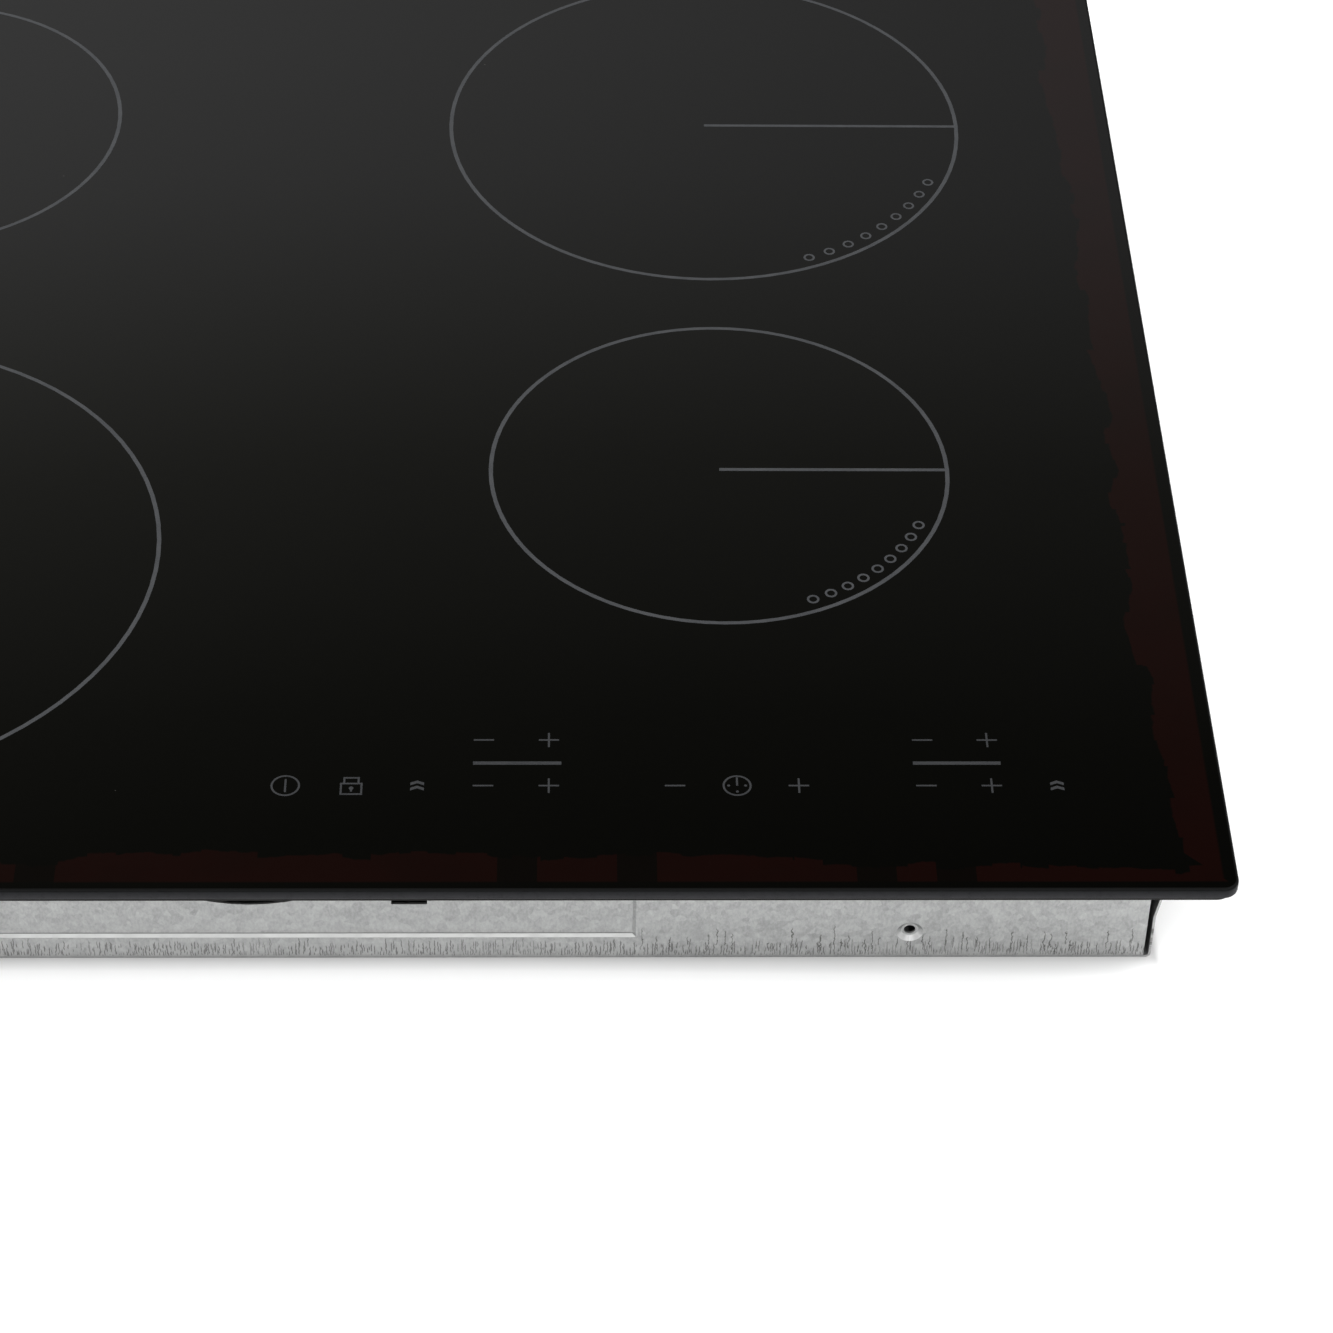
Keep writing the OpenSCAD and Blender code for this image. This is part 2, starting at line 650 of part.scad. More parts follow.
module filter_parts() {
  color([0.3, 0.3, 0.32]) {
    for (x = [-42, 42]) translate([x, wall_y - 78, z_parts + 4.5]) difference() {
      translate([0, 0, -4.5]) cylinder(r = 15, h = 13);
      cylinder(r = 7, h = 30, center = true);
    }
    for (x = [-42, 0, 42]) box3(x - 9, x + 9, wall_y - 52, wall_y - 34, z_parts, z_parts + 16);
    for (x = [-58, -46, 46, 58]) box3(x - 4, x + 4, wall_y - 31, wall_y - 25, z_parts, z_parts + 10);
    box3(-12, 12, wall_y - 94, wall_y - 66, z_parts, z_parts + 15);
  }
}

// ---------- mains terminals ----------
module terminal_box() {
  x0 = -box_x - box_half;
  x1 = -box_x + box_half;
  color([0.82, 0.82, 0.8])
  difference() {
    union() {
      difference() {
        box3(x0, x1, box_y0, box_y1, sheet_t + 0.1, box_h);
        box3(x0 + 2, x1 - 2, box_y0 + 6, box_y1 - 2, -1, box_h - 2);
        box3(x0 + 8, x1 - 8, box_y0 - 1, box_y0 + 7, -1, 6);
      }
      for (x = [x0 + 2, x1 - 8]) box3(x, x + 6, pin_y - 2.4, pin_y + 5, sheet_t + 0.1, 7);
    }
    translate([x0 - 1, pin_y, pin_z]) rotate([0, 90, 0]) cylinder(r = 1.5 + hinge_fit, h = 2 * box_half + 2);
    box3(x0 + 3.9, x1 - 3.9, pin_y - 2.9, pin_y + 5.5, -1, 5);
    translate([-box_x, box_y1 + 1, cable_z]) rotate([90, 0, 0]) cylinder(r = cable_r + 2.2, h = 5);
  }
}

module terminal_cover() {
  x0 = -box_x - box_half + 4.5;
  x1 = -box_x + box_half - 4.5;
  color([0.78, 0.78, 0.76]) {
    difference() {
      union() {
        box3(x0, x1, pin_y, box_y1 - 4, 0.3, 2.3);
        translate([x0, pin_y, pin_z]) rotate([0, 90, 0]) cylinder(r = 2, h = x1 - x0);
      }
      for (k = [-3 : 3]) box3(-box_x + k * 9 - 1, -box_x + k * 9 + 1, pin_y + 12, pin_y + 40, 0, 0.8);
    }
    translate([x0 - 2.4, pin_y, pin_z]) rotate([0, 90, 0]) cylinder(r = 1.5, h = x1 - x0 + 4.8);
  }
}

block_y = box_y0 + 24;
module terminal_block() {
  color([0.93, 0.93, 0.9])
  difference() {
    box3(-box_x - 33, -box_x + 33, block_y - 9, block_y + 9, 9, box_h - 2);
    for (k = [-2 : 2]) translate([-box_x + k * 12.4, block_y - 3.5, 8]) cylinder(r = 3.2, h = 9);
    for (k = [-2 : 2]) box3(-box_x + k * 12.4 - 3, -box_x + k * 12.4 + 3, block_y + 3, block_y + 10, 8, 15);
  }
}

module terminal_screws() {
  color([0.75, 0.68, 0.42])
  for (k = [-2 : 2]) translate([-box_x + k * 12.4, block_y - 3.5, 9.6]) difference() {
    cylinder(r = 2.8, h = 5.4);
    translate([0, 0, 0]) cube([7, 0.9, 2], center = true);
  }
}

module cable_clamp() {
  y0 = box_y1 - 14;
  color([0.9, 0.9, 0.88])
  difference() {
    union() {
      box3(-box_x - cable_r - 10, -box_x + cable_r + 10, y0 - 4, y0 + 4, cable_z - cable_r - 3, box_h - 2.1);
    }
    translate([-box_x, y0 + 6, cable_z]) rotate([90, 0, 0]) cylinder(r = cable_r + 0.4, h = 12);
    for (s = [-1, 1]) translate([-box_x + s * (cable_r + 6), y0, 0]) cylinder(r = 1.5, h = cable_z - 2);
  }
}

module cable_bushing() {
  y0 = box_y1 - 3;
  color([0.05, 0.05, 0.05])
  translate([-box_x, wall_y + 2.4, cable_z]) rotate([90, 0, 0]) difference() {
    union() {
      cylinder(r = cable_r + 4, h = 2.3);
      cylinder(r = cable_r + 2, h = wall_y + 2.4 - y0 - 0.1);
    }
    translate([0, 0, -1]) cylinder(r = cable_r, h = 20);
  }
}

// ---------- touch control ----------
module ui_carrier() {
  color([0.15, 0.15, 0.16])
  difference() {
    box3(ui_x0, ui_x1, ui_y0, ui_y1, ui_z0, z_g - 1.6);
    box3(ui_x0 + 1.6, ui_x1 - 1.6, ui_y0 + 1.6, ui_y1 - 1.6, ui_z0 + 1.6, z_g);
  }
  color([0.15, 0.15, 0.16])
  for (x = [ui_x0 + 8, (ui_x0 + ui_x1) / 2, ui_x1 - 8], y = [ui_y0 + 6, ui_y1 - 6])
    translate([x, y, ui_z0 + 1.5]) cylinder(r = 3, h = z_g - 7.6 - ui_z0 - 1.5);
}

ui_pcb = z_g - 7.5;
module ui_board() {
  color([0.1, 0.3, 0.16])
  box3(ui_x0 + 2.1, ui_x1 - 2.1, ui_y0 + 2.1, ui_y1 - 2.1, ui_pcb, ui_pcb + board_t);
}

module ui_displays() {
  z0 = ui_pcb + board_t;
  color([0.2, 0.05, 0.05]) {
    for (x = [3.5, 10.3], y = [row_up + 9]) translate([key_x0 + x * key_pitch, key_y + y, z0])
      box3(-8, 8, -4, 4, 0, 4);
    translate([key_x0 + 6.868 * key_pitch, key_y + row_up - 2, z0]) box3(-14, 14, -6, 6, 0, 4);
  }
}

key_spots = [for (k = [0, 1, 2, 3, 4, 5.921, 6.868, 7.811, 9.757, 10.757, 11.757]) [key_x0 + k * key_pitch, key_y],
  for (k = [3, 4, 9.757, 10.757]) [key_x0 + k * key_pitch, key_y + row_up]];
module touch_springs() {
  z0 = ui_pcb + board_t;
  color([0.8, 0.8, 0.78])
  for (p = key_spots) translate([p[0], p[1], z0]) {
    cylinder(r = 2.5, h = z_g - z0 - 0.8);
    translate([0, 0, z_g - z0 - 0.85]) cylinder(r = 4.5, h = 0.82);
  }
}

glass_top();
printed_zone_rings();
printed_key_symbols();
worktop_seal();
glass_adhesive();
glass_frame();
bottom_tray();
tray_screws();
coil_plate();
plate_pillars();
coil_former(FL);  // coil_former_fl
coil_former(FR);  // coil_former_fr
coil_former(RL);  // coil_former_rl
coil_former(RR);  // coil_former_rr
coil_winding(FL);  // coil_winding_fl
coil_winding(FR);  // coil_winding_fr
coil_winding(RL);  // coil_winding_rl
coil_winding(RR);  // coil_winding_rr
ferrite_bars(FL);  // ferrite_bars_fl
ferrite_bars(FR);  // ferrite_bars_fr
ferrite_bars(RL);  // ferrite_bars_rl
ferrite_bars(RR);  // ferrite_bars_rr
mica_disc(FL);  // mica_disc_fl
mica_disc(FR);  // mica_disc_fr
mica_disc(RL);  // mica_disc_rl
mica_disc(RR);  // mica_disc_rr
sensor(FL);  // sensor_fl
sensor(FR);  // sensor_fr
sensor(RL);  // sensor_rl
sensor(RR);  // sensor_rr
sensor_spring(FL);  // sensor_spring_fl
sensor_spring(FR);  // sensor_spring_fr
sensor_spring(RL);  // sensor_spring_rl
sensor_spring(RR);  // sensor_spring_rr
coil_leads();
power_board(-1);  // power_board_left
power_board(1);  // power_board_right
heat_sink(-1);  // heat_sink_left
heat_sink(1);  // heat_sink_right
transistors();
capacitors();
fan_housing(-1);  // fan_housing_left
fan_housing(1);  // fan_housing_right
fan_rotor(-1);  // fan_rotor_left
fan_rotor(1);  // fan_rotor_right
fan_stator(-1);  // fan_stator_left
fan_stator(1);  // fan_stator_right
filter_board();
filter_parts();
board_spacers();
terminal_box();
terminal_cover();
terminal_block();
cable_clamp();
terminal_screws();
cable_bushing();
ui_carrier();
ui_board();
ui_displays();
touch_springs();
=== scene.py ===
import json
import math

import bpy
from mathutils import Matrix, Vector


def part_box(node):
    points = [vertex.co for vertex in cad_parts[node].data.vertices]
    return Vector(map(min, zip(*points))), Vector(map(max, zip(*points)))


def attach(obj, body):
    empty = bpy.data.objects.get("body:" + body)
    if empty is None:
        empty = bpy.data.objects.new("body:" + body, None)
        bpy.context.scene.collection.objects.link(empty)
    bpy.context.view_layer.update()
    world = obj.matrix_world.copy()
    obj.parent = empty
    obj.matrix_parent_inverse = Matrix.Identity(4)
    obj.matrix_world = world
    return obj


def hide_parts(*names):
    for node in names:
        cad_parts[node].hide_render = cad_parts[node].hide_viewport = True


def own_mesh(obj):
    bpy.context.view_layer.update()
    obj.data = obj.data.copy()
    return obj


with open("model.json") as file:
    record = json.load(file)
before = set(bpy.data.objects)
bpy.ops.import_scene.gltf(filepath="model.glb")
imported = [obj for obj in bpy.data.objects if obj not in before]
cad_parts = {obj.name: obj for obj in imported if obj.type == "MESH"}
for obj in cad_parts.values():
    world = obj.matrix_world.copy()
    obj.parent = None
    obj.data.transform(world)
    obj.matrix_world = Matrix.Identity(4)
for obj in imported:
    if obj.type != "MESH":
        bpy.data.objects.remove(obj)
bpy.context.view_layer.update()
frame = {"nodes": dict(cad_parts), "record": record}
NODES = frame["nodes"]
MM = 0.001

# places on the part that the materials refer to, in metres
GLASS_HALF_W, GLASS_HALF_D = 0.295, 0.260
GLASS_LOW, GLASS_HIGH = 0.0459, 0.0500
FRONT_WALL = -0.2411
SIDE_WALL = 0.2733
PANEL_HALF = 0.1150
LEDGE_LOW, LEDGE_HIGH = 0.0092, 0.0103
CLAMP_X = 0.199


# ---------- camera, at the photograph's angle ----------
def make_camera():
    pitch, yaw, roll = (math.radians(a) for a in (42.87, -2.07, 1.45))
    place = Vector((0.09122, -1.08318, 0.90572))
    back = Vector((math.sin(yaw) * math.cos(pitch), -math.cos(yaw) * math.cos(pitch), math.sin(pitch)))
    right = (-back).cross(Vector((0, 0, 1))).normalized()
    up = right.cross(-back)
    r2 = math.cos(roll) * right + math.sin(roll) * up
    u2 = -math.sin(roll) * right + math.cos(roll) * up
    data = bpy.data.cameras.new("camera")
    data.sensor_width = 36
    data.lens = 107.27
    data.clip_start = 0.01
    data.clip_end = 50
    cam = bpy.data.objects.new("camera", data)
    bpy.context.scene.collection.objects.link(cam)
    m = Matrix((r2, u2, back)).transposed().to_4x4()
    m.translation = place
    cam.matrix_world = m
    bpy.context.scene.camera = cam


make_camera()


# ---------- node helpers ----------
class Graph:
    """Short names for the shader nodes that the materials below share."""

    def __init__(self, tree):
        self.t = tree
        self.n = tree.nodes
        self.l = tree.links

    def put(self, socket, value):
        if hasattr(value, "is_output"):
            self.l.new(value, socket)
        else:
            socket.default_value = value

    def node(self, kind, **ins):
        n = self.n.new(kind)
        for k, v in ins.items():
            self.put(n.inputs[k], v)
        return n

    def place(self):
        return self.n.new("ShaderNodeTexCoord").outputs["Object"]

    def xyz(self, v):
        return self.node("ShaderNodeSeparateXYZ", Vector=v).outputs

    def math(self, op, a, b=0.0, clamp=False):
        n = self.n.new("ShaderNodeMath")
        n.operation = op
        n.use_clamp = clamp
        self.put(n.inputs[0], a)
        self.put(n.inputs[1], b)
        return n.outputs[0]

    def add(self, a, b):
        return self.math("ADD", a, b)

    def sub(self, a, b, clamp=False):
        return self.math("SUBTRACT", a, b, clamp)

    def mul(self, a, b, clamp=False):
        return self.math("MULTIPLY", a, b, clamp)

    def abs(self, a):
        return self.math("ABSOLUTE", a)

    def max(self, a, b):
        return self.math("MAXIMUM", a, b)

    def min(self, a, b):
        return self.math("MINIMUM", a, b)

    def below(self, a, b):
        return self.math("LESS_THAN", a, b)

    def above(self, a, b):
        return self.math("GREATER_THAN", a, b)

    def stretch(self, v, s):
        n = self.n.new("ShaderNodeVectorMath")
        n.operation = "MULTIPLY"
        self.put(n.inputs[0], v)
        n.inputs[1].default_value = s
        return n.outputs[0]

    def noise(self, v, scale, detail=3.0, rough=0.55):
        n = self.node("ShaderNodeTexNoise", Vector=v, Scale=scale, Detail=detail, Roughness=rough)
        return n.outputs["Fac"]

    def cells(self, v, scale, out="Color"):
        n = self.n.new("ShaderNodeTexVoronoi")
        self.put(n.inputs["Vector"], v)
        n.inputs["Scale"].default_value = scale
        return n.outputs[out]

    def chance(self, v, step, seed):
        """A random value that stays the same over each step of v."""
        n = self.n.new("ShaderNodeTexWhiteNoise")
        n.noise_dimensions = "2D"
        cell = self.math("FLOOR", self.math("DIVIDE", v, step))
        self.put(n.inputs["Vector"], self.node("ShaderNodeCombineXYZ", X=cell, Y=seed).outputs[0])
        return n.outputs["Value"]

    def span(self, v, a, b, lo=0.0, hi=1.0, smooth=True):
        n = self.n.new("ShaderNodeMapRange")
        n.interpolation_type = "SMOOTHSTEP" if smooth else "LINEAR"
        for k, x in zip(("Value", "From Min", "From Max", "To Min", "To Max"), (v, a, b, lo, hi)):
            self.put(n.inputs[k], x)
        return n.outputs[0]

    def fade(self, v, a, b, full=1.0):
        """Full up to a, nothing from b on."""
        return self.span(v, a, b, full, 0.0)

    def mix(self, f, a, b):
        n = self.n.new("ShaderNodeMix")
        n.data_type = "RGBA"
        self.put(n.inputs[0], f)
        self.put(n.inputs[6], a if hasattr(a, "is_output") else (*a, 1.0))
        self.put(n.inputs[7], b if hasattr(b, "is_output") else (*b, 1.0))
        return n.outputs[2]

    def steps(self, v, stops):
        """A colour ramp over v from a list of (position, colour)."""
        n = self.n.new("ShaderNodeValToRGB")
        self.put(n.inputs[0], v)
        el = n.color_ramp.elements
        for i, (pos, c) in enumerate(stops):
            e = el[i] if i < 2 else el.new(pos)
            e.position = pos
            e.color = (*c, 1)
        return n.outputs[0]

    def bump(self, h, depth, strength=1.0):
        return self.node("ShaderNodeBump", Strength=strength, Distance=depth, Height=h).outputs[0]


def material(name, rough, metal=0.0, spec=0.5):
    m = bpy.data.materials.new(name)
    m.use_nodes = True
    g = Graph(m.node_tree)
    b = g.n["Principled BSDF"]
    b.inputs["Roughness"].default_value = rough
    b.inputs["Metallic"].default_value = metal
    b.inputs["Specular IOR Level"].default_value = spec
    return m, g, b


def plain(name, c, rough, metal, grain, depth, vary, spec=0.5, streak=(1, 1, 1)):
    """A moulded or rolled surface: colour drift, fine grain in roughness and bump."""
    m, g, b = material(name, rough, metal, spec)
    p = g.stretch(g.place(), streak)
    big = g.noise(p, 45.0, 4.0)
    fine = g.noise(p, grain, 2.0)
    dark = tuple(x * (1 - vary) for x in c)
    pale = tuple(min(1.0, x * (1 + vary)) for x in c)
    drift = g.span(g.add(g.mul(big, 0.7), g.mul(fine, 0.3)), 0.3, 0.7)
    g.put(b.inputs["Base Color"], g.mix(drift, dark, pale))
    g.put(b.inputs["Roughness"], g.span(fine, 0.25, 0.75, max(0.02, rough - 0.07), min(1, rough + 0.08)))
    g.put(b.inputs["Normal"], g.bump(fine, depth, 0.6))
    return m


# ---------- materials ----------
def glass_face():
    """Polished black glass. Near the edge a dull red glow is painted into the colour, standing in for light
    from below that shines through the overhang.
    """
    m, g, b = material("glass_face", 0.035)
    p = g.place()
    x, y, z = g.xyz(p)
    dx = g.sub(GLASS_HALF_W, g.abs(x))
    dy = g.sub(GLASS_HALF_D, g.abs(y))
    inwards = g.min(dx, dy)
    front = g.below(dy, dx)
    sides = g.sub(1.0, front)
    along = g.add(g.mul(x, front), g.mul(y, sides))
    # how far in the painted red glow reaches: in steps along the edge, with a slow swell, wider at the sides
    blocks = g.add(g.chance(along, 0.023, 3.0), g.chance(along, 0.0085, 8.0))
    swell = g.noise(g.stretch(p, (1, 1, 0)), 17.0, 2.0, 0.6)
    reach = g.add(g.add(0.0030, g.mul(blocks, 0.0030)), g.mul(swell, 0.0155))
    reach = g.sub(reach, g.mul(g.span(g.abs(x), 0.03, 0.25, 0.0, 0.003), front))
    reach = g.add(reach, g.mul(sides, 0.0055))
    ragged = g.mul(g.sub(g.noise(p, 210.0, 2.0), 0.5), 0.0022)
    gap = g.mul(g.above(g.chance(along, 0.012, 5.0), 0.90), front)
    outer = g.span(g.sub(inwards, g.mul(sides, 0.0012)), 0.0030, 0.0040)
    inner = g.fade(g.sub(g.add(inwards, ragged), reach), 0.0, 0.0008)
    painted_glow_band = g.mul(g.mul(outer, inner), g.sub(1.0, g.mul(gap, 0.85)))
    cloud = g.span(g.noise(p, 18.0, 3.0), 0.3, 0.7, 0.8, 1.2)
    black = g.mix(g.noise(p, 30.0, 3.0), (0.0002, 0.0002, 0.00012), (0.0004, 0.00038, 0.00026))
    # the painted red glow is mixed into the black of the glass here
    black_with_painted_glow = g.mix(g.mul(painted_glow_band, cloud, True), black, (0.0034, 0.0005, 0.00035))
    speck = g.below(g.cells(p, 75.0, "Distance"), 0.015)
    dust = g.mul(speck, g.above(g.noise(p, 23.0, 1.0), 0.60))
    g.put(b.inputs["Base Color"], g.mix(dust, black_with_painted_glow, (0.035, 0.033, 0.03)))
    g.put(b.inputs["Roughness"], g.span(g.noise(p, 260.0, 4.0), 0.35, 0.7, 0.03, 0.06))
    g.put(b.inputs["Normal"], g.bump(g.noise(p, 14.0, 1.0), 0.00001, 0.25))
    return m


def glass_edge():
    """Ground edge, matt and bluish. Over its height the colour carries painted light and shade: lightest just
    above the lower arris, darker upwards, and nearly black where it turns into the two faces.
    """
    m, g, b = material("glass_edge", 0.45, 0.0, 0.05)
    p = g.place()
    z = g.xyz(p)[2]
    # painted light and shade over the height of the edge, nearly black at both arrises
    painted_shade = g.steps(g.span(z, GLASS_LOW, GLASS_HIGH, 0.0, 1.0, False), (
        (0.0, (0.0015, 0.0015, 0.0015)), (0.035, (0.003, 0.003, 0.0034)), (0.08, (0.026, 0.026, 0.028)),
        (0.42, (0.0165, 0.0168, 0.0185)), (0.74, (0.0092, 0.0097, 0.0106)), (0.86, (0.0038, 0.0041, 0.0042)),
        (1.0, (0.0008, 0.0008, 0.0007))))
    fine = g.noise(g.stretch(p, (1, 1, 1.6)), 1300.0, 3.0)
    coarse = g.noise(p, 420.0, 2.0)
    tone = g.add(g.span(fine, 0.3, 0.7, 0.55, 1.15, False), g.span(coarse, 0.35, 0.65, 0.0, 0.3))
    c = g.mix(g.sub(1.0, tone, True), painted_shade, (0.001, 0.001, 0.0012))
    chips = g.mul(g.below(g.cells(p, 420.0, "Distance"), 0.09), g.below(z, GLASS_LOW + 0.0011))
    g.put(b.inputs["Base Color"], g.mix(g.mul(chips, 0.3), c, (0.06, 0.06, 0.065)))
    g.put(b.inputs["Roughness"], g.span(fine, 0.3, 0.7, 0.38, 0.55))
    g.put(b.inputs["Normal"], g.bump(fine, 0.00003, 0.7))
    return m


def enamel(name, k):
    """Grey enamel print; k sets how light it is."""
    m, g, b = material(name, 0.36, 0.0, 0.3)
    p = g.place()
    grain = g.noise(p, 2600.0, 2.0)
    drift = g.span(g.noise(p, 120.0, 3.0), 0.3, 0.7)
    dark, pale, light = (tuple(v * k for v in c) for c in (
        (0.0275, 0.029, 0.0315), (0.0345, 0.036, 0.0385), (0.056, 0.058, 0.062)))
    c = g.mix(g.mul(g.span(grain, 0.5, 0.75), 0.35), g.mix(drift, dark, pale), light)
    g.put(b.inputs["Base Color"], c)
    g.put(b.inputs["Roughness"], g.span(grain, 0.3, 0.7, 0.3, 0.45))
    g.put(b.inputs["Normal"], g.bump(grain, 0.00001, 0.5))
    return m


def hair_cracks(g, along, z, pitch, share, start, length, width, seed):
    """Upright hairline cracks in the zinc, at most one in each strip of the sheet."""
    sway = g.noise(g.node("ShaderNodeCombineXYZ", X=along, Y=seed, Z=z).outputs[0], 520.0, 2.0)
    u = g.math("DIVIDE", g.add(along, g.mul(g.sub(sway, 0.5), pitch * 0.9)), pitch)
    white = g.n.new("ShaderNodeTexWhiteNoise")
    white.noise_dimensions = "2D"
    strip = g.node("ShaderNodeCombineXYZ", X=g.math("FLOOR", u), Y=seed)
    g.put(white.inputs["Vector"], strip.outputs[0])
    r1, r2, r3 = g.xyz(white.outputs["Color"])[:3]
    here = g.below(white.outputs["Value"], share)
    centre = g.add(0.25, g.mul(r3, 0.5))
    off = g.abs(g.sub(g.math("FRACT", u), centre))
    line = g.fade(off, width / pitch * 0.25, width / pitch * 0.62)
    z0 = g.add(start[0], g.mul(r1, start[1]))
    z1 = g.add(g.add(z0, length[0]), g.mul(r2, length[1]))
    body = g.mul(g.span(g.sub(z, z0), 0.0, 0.0008), g.fade(g.sub(z, z1), -0.0012, 0.0))
    return g.mul(g.mul(here, line), body)


def front_wall_marks_and_painted_light(g, c, tone, p):
    """Cracks and the two pressed screw holes, with painted light and shade: a lift on the panel and the strip
    below it, a highlight on the ledge with shade in the crease above, highlight and shade round the screw
    holes, and shade at the foot of the wall; laid over the colour c.
    """
    x, y, z = g.xyz(p)
    ax = g.abs(x)

    def grey(k):
        return (tone * k, tone * k, tone * k)

    side = g.above(ax, SIDE_WALL)
    along = g.add(g.mul(x, g.sub(1.0, side)), g.mul(y, side))
    plain_wall = g.max(g.span(ax, PANEL_HALF + 0.0002, PANEL_HALF + 0.0015), side)

    def cracks(*values):
        return hair_cracks(g, along, z, *values)

    low = g.max(cracks(0.00085, 0.80, (0.0006, 0.0012), (0.0012, 0.0022), 0.00030, 11.0),
                cracks(0.00107, 0.78, (0.0008, 0.0026), (0.0022, 0.0045), 0.00034, 23.0))
    mid = cracks(0.00125, 0.75, (0.0026, 0.0030), (0.0018, 0.0035), 0.00034, 37.0)
    mid = g.mul(mid, g.sub(1.0, g.mul(plain_wall, 0.75)))
    tall = g.max(cracks(0.0023, 0.66, (0.0020, 0.0055), (0.0030, 0.0068), 0.00034, 51.0),
                 cracks(0.00145, 0.45, (0.0022, 0.0055), (0.0014, 0.0042), 0.00028, 67.0))
    tall = g.mul(tall, plain_wall)
    patchy = g.span(g.noise(g.stretch(p, (1, 1, 0)), 85.0, 2.0), 0.30, 0.52, 0.55, 1.0)
    ends = g.max(g.fade(z, LEDGE_LOW - 0.0004, LEDGE_LOW + 0.0002), plain_wall)
    low = g.mul(g.max(low, mid), g.mul(patchy, ends))

    # painted light: the panel and the strip below it are lightened towards their lower edges
    strip = g.mul(g.span(z, 0.0, 0.0095, 0.24, 0.06, False), g.below(z, LEDGE_LOW))
    strip = g.mul(strip, g.span(ax, PANEL_HALF - 0.007, PANEL_HALF + 0.009, 1.0, 0.45))
    panel = g.mul(g.above(z, 0.0105), g.fade(z, 0.0105, 0.0200, 0.09))
    panel = g.mul(panel, g.below(ax, PANEL_HALF))
    front = g.below(y, FRONT_WALL + 0.0021)
    c = g.mix(g.mul(front, g.add(strip, panel)), c, grey(2.0))
    c = g.mix(g.mul(low, 0.8), c, (tone * 0.30, tone * 0.30, tone * 0.29))
    c = g.mix(g.mul(tall, 0.85), c, (tone * 0.24, tone * 0.24, tone * 0.23))

    # the ledge of the panel gets an even, clean tone as a painted highlight, and the dark line above it is
    # painted shade in the crease
    ledge_highlight = g.mul(g.mul(g.span(z, LEDGE_LOW, LEDGE_LOW + 0.0003), g.fade(z, LEDGE_HIGH - 0.0001, LEDGE_HIGH)),
                  g.mul(g.below(y, FRONT_WALL + 0.0013), g.below(ax, PANEL_HALF - 0.0004)))
    crease_shade = g.mul(g.mul(g.span(z, 0.01015, 0.01025), g.fade(z, 0.0106, 0.0108)),
                   g.mul(g.below(y, FRONT_WALL + 0.0016), g.below(ax, PANEL_HALF - 0.0014)))
    c = g.mix(g.mul(crease_shade, 0.6), c, grey(0.4))
    c = g.mix(ledge_highlight, c, (tone, tone * 1.01, tone))

    # painted highlight and shade round the pressed screw holes: the lower half of the cone, which faces up, is
    # painted light and the upper half painted dark
    up = g.xyz(g.n.new("ShaderNodeNewGeometry").outputs["Normal"])[2]
    cone = g.mul(g.below(g.abs(g.sub(ax, CLAMP_X)), 0.006), g.below(y, FRONT_WALL + 0.0061))
    cone = g.mul(cone, g.mul(g.above(z, 0.0060), g.below(z, 0.0175)))
    c = g.mix(g.mul(cone, g.span(up, 0.05, 0.35, 0.0, 0.55)), c, grey(1.9))
    c = g.mix(g.mul(cone, g.fade(up, -0.35, -0.05, 0.55)), c, grey(0.3))
    # painted shade darkens the lowest 1.4 mm of the wall
    return g.mix(g.mul(g.fade(z, 0.0004, 0.0014), 0.2), c, grey(0.5))


def galvanised(name, with_marks_and_painted_light):
    """Zinc coated sheet with a faint spangle and mottle; the tray's sheet also gets the front wall's marks and
    painted light and shade.
    """
    tone = 0.355
    m, g, b = material(name, 0.45, 0.8)
    p = g.place()
    cell = g.xyz(g.cells(p, 420.0))[0]
    mottle = g.noise(p, 170.0, 4.0, 0.6)
    fine = g.noise(g.stretch(p, (1, 1, 0.55)), 1150.0, 4.0, 0.7)
    v = g.add(g.mul(cell, 0.15), g.add(g.mul(mottle, 0.25), g.mul(fine, 0.60)))
    lo = (tone * 0.70, tone * 0.715, tone * 0.71)
    hi = (tone * 1.27, tone * 1.285, tone * 1.275)
    c = g.mix(g.span(v, 0.3, 0.72, 0.0, 1.0, False), lo, hi)
    smudge = g.span(g.noise(p, 42.0, 3.0), 0.64, 0.74, 0.0, 0.25)
    c = g.mix(smudge, c, (tone * 0.55, tone * 0.56, tone * 0.56))
    if with_marks_and_painted_light:
        c = front_wall_marks_and_painted_light(g, c, tone, p)
    g.put(b.inputs["Base Color"], c)
    g.put(b.inputs["Roughness"], g.span(v, 0.3, 0.7, 0.4, 0.52))
    g.put(b.inputs["Normal"], g.bump(g.add(fine, g.mul(mottle, 0.5)), 0.00002, 0.5))
    return m


def board_green():
    m, g, b = material("circuit_board", 0.28, 0.0, 0.5)
    p = g.place()
    bricks = g.n.new("ShaderNodeTexBrick")
    g.put(bricks.inputs["Vector"], p)
    for k, v in (("Scale", 90.0), ("Mortar Size", 0.06), ("Mortar Smooth", 0.2), ("Brick Width", 0.9),
                 ("Row Height", 0.22)):
        bricks.inputs[k].default_value = v
    tracks = bricks.outputs["Fac"]
    pads = g.below(g.cells(p, 150.0, "Distance"), 0.16)
    c = g.mix(tracks, (0.008, 0.075, 0.03), (0.015, 0.13, 0.05))
    c = g.mix(g.span(g.noise(p, 60.0, 3.0), 0.3, 0.7, 0.0, 0.4), c, (0.006, 0.06, 0.026))
    g.put(b.inputs["Base Color"], g.mix(pads, c, (0.55, 0.55, 0.52)))
    g.put(b.inputs["Roughness"], g.span(g.noise(p, 700.0, 2.0), 0.3, 0.7, 0.22, 0.38))
    g.put(b.inputs["Normal"], g.bump(g.add(tracks, pads), 0.00005, 0.4))
    return m


